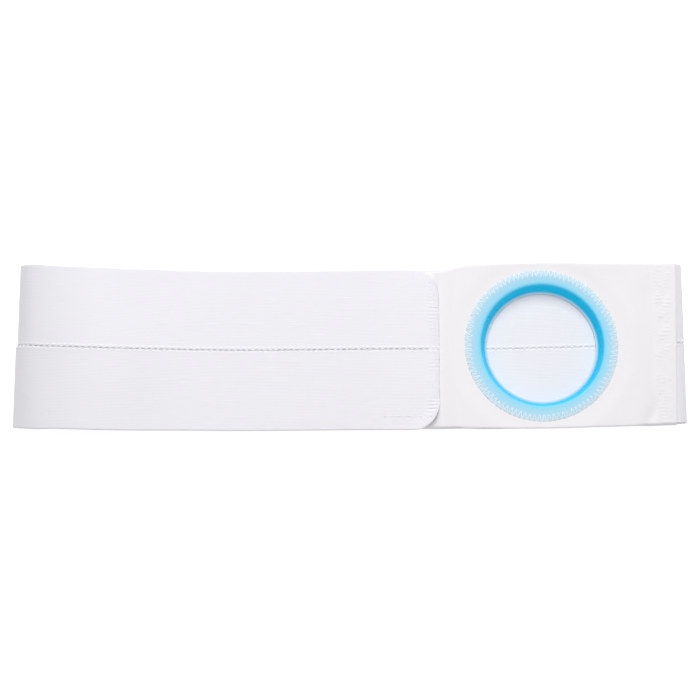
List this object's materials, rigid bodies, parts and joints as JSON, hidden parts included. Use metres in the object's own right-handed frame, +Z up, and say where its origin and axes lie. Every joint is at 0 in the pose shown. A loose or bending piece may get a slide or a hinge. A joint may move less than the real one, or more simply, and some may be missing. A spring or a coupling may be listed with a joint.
{
  "type": "ostomy support belt",
  "caption": "Wide white elastic belt, fastened into a flat loop, with a soft cloth panel and a blue plastic ring that a stoma pouch passes through.",
  "frame": {"origin": "middle of the belt's bounding box at table height, under the flat loop", "axes": "+X along the belt towards the ring end, +Y across the band towards its upper edge, +Z up from the table"},
  "size_m": [0.4206, 0.1076, 0.024],
  "materials": {
    "webbing": "ribbed woven elastic, matte",
    "panel_cloth": "soft brushed knit, matte",
    "blue_plastic": "soft translucent plastic, satin",
    "hook_tape": "hook tape, matte"
  },
  "bodies": {
    "root": {"elastic_upper": "webbing", "elastic_lower": "webbing", "ring_panel": "panel_cloth", "stoma_ring": "blue_plastic", "hook_patch": "hook_tape"}
  },
  "joints": []
}
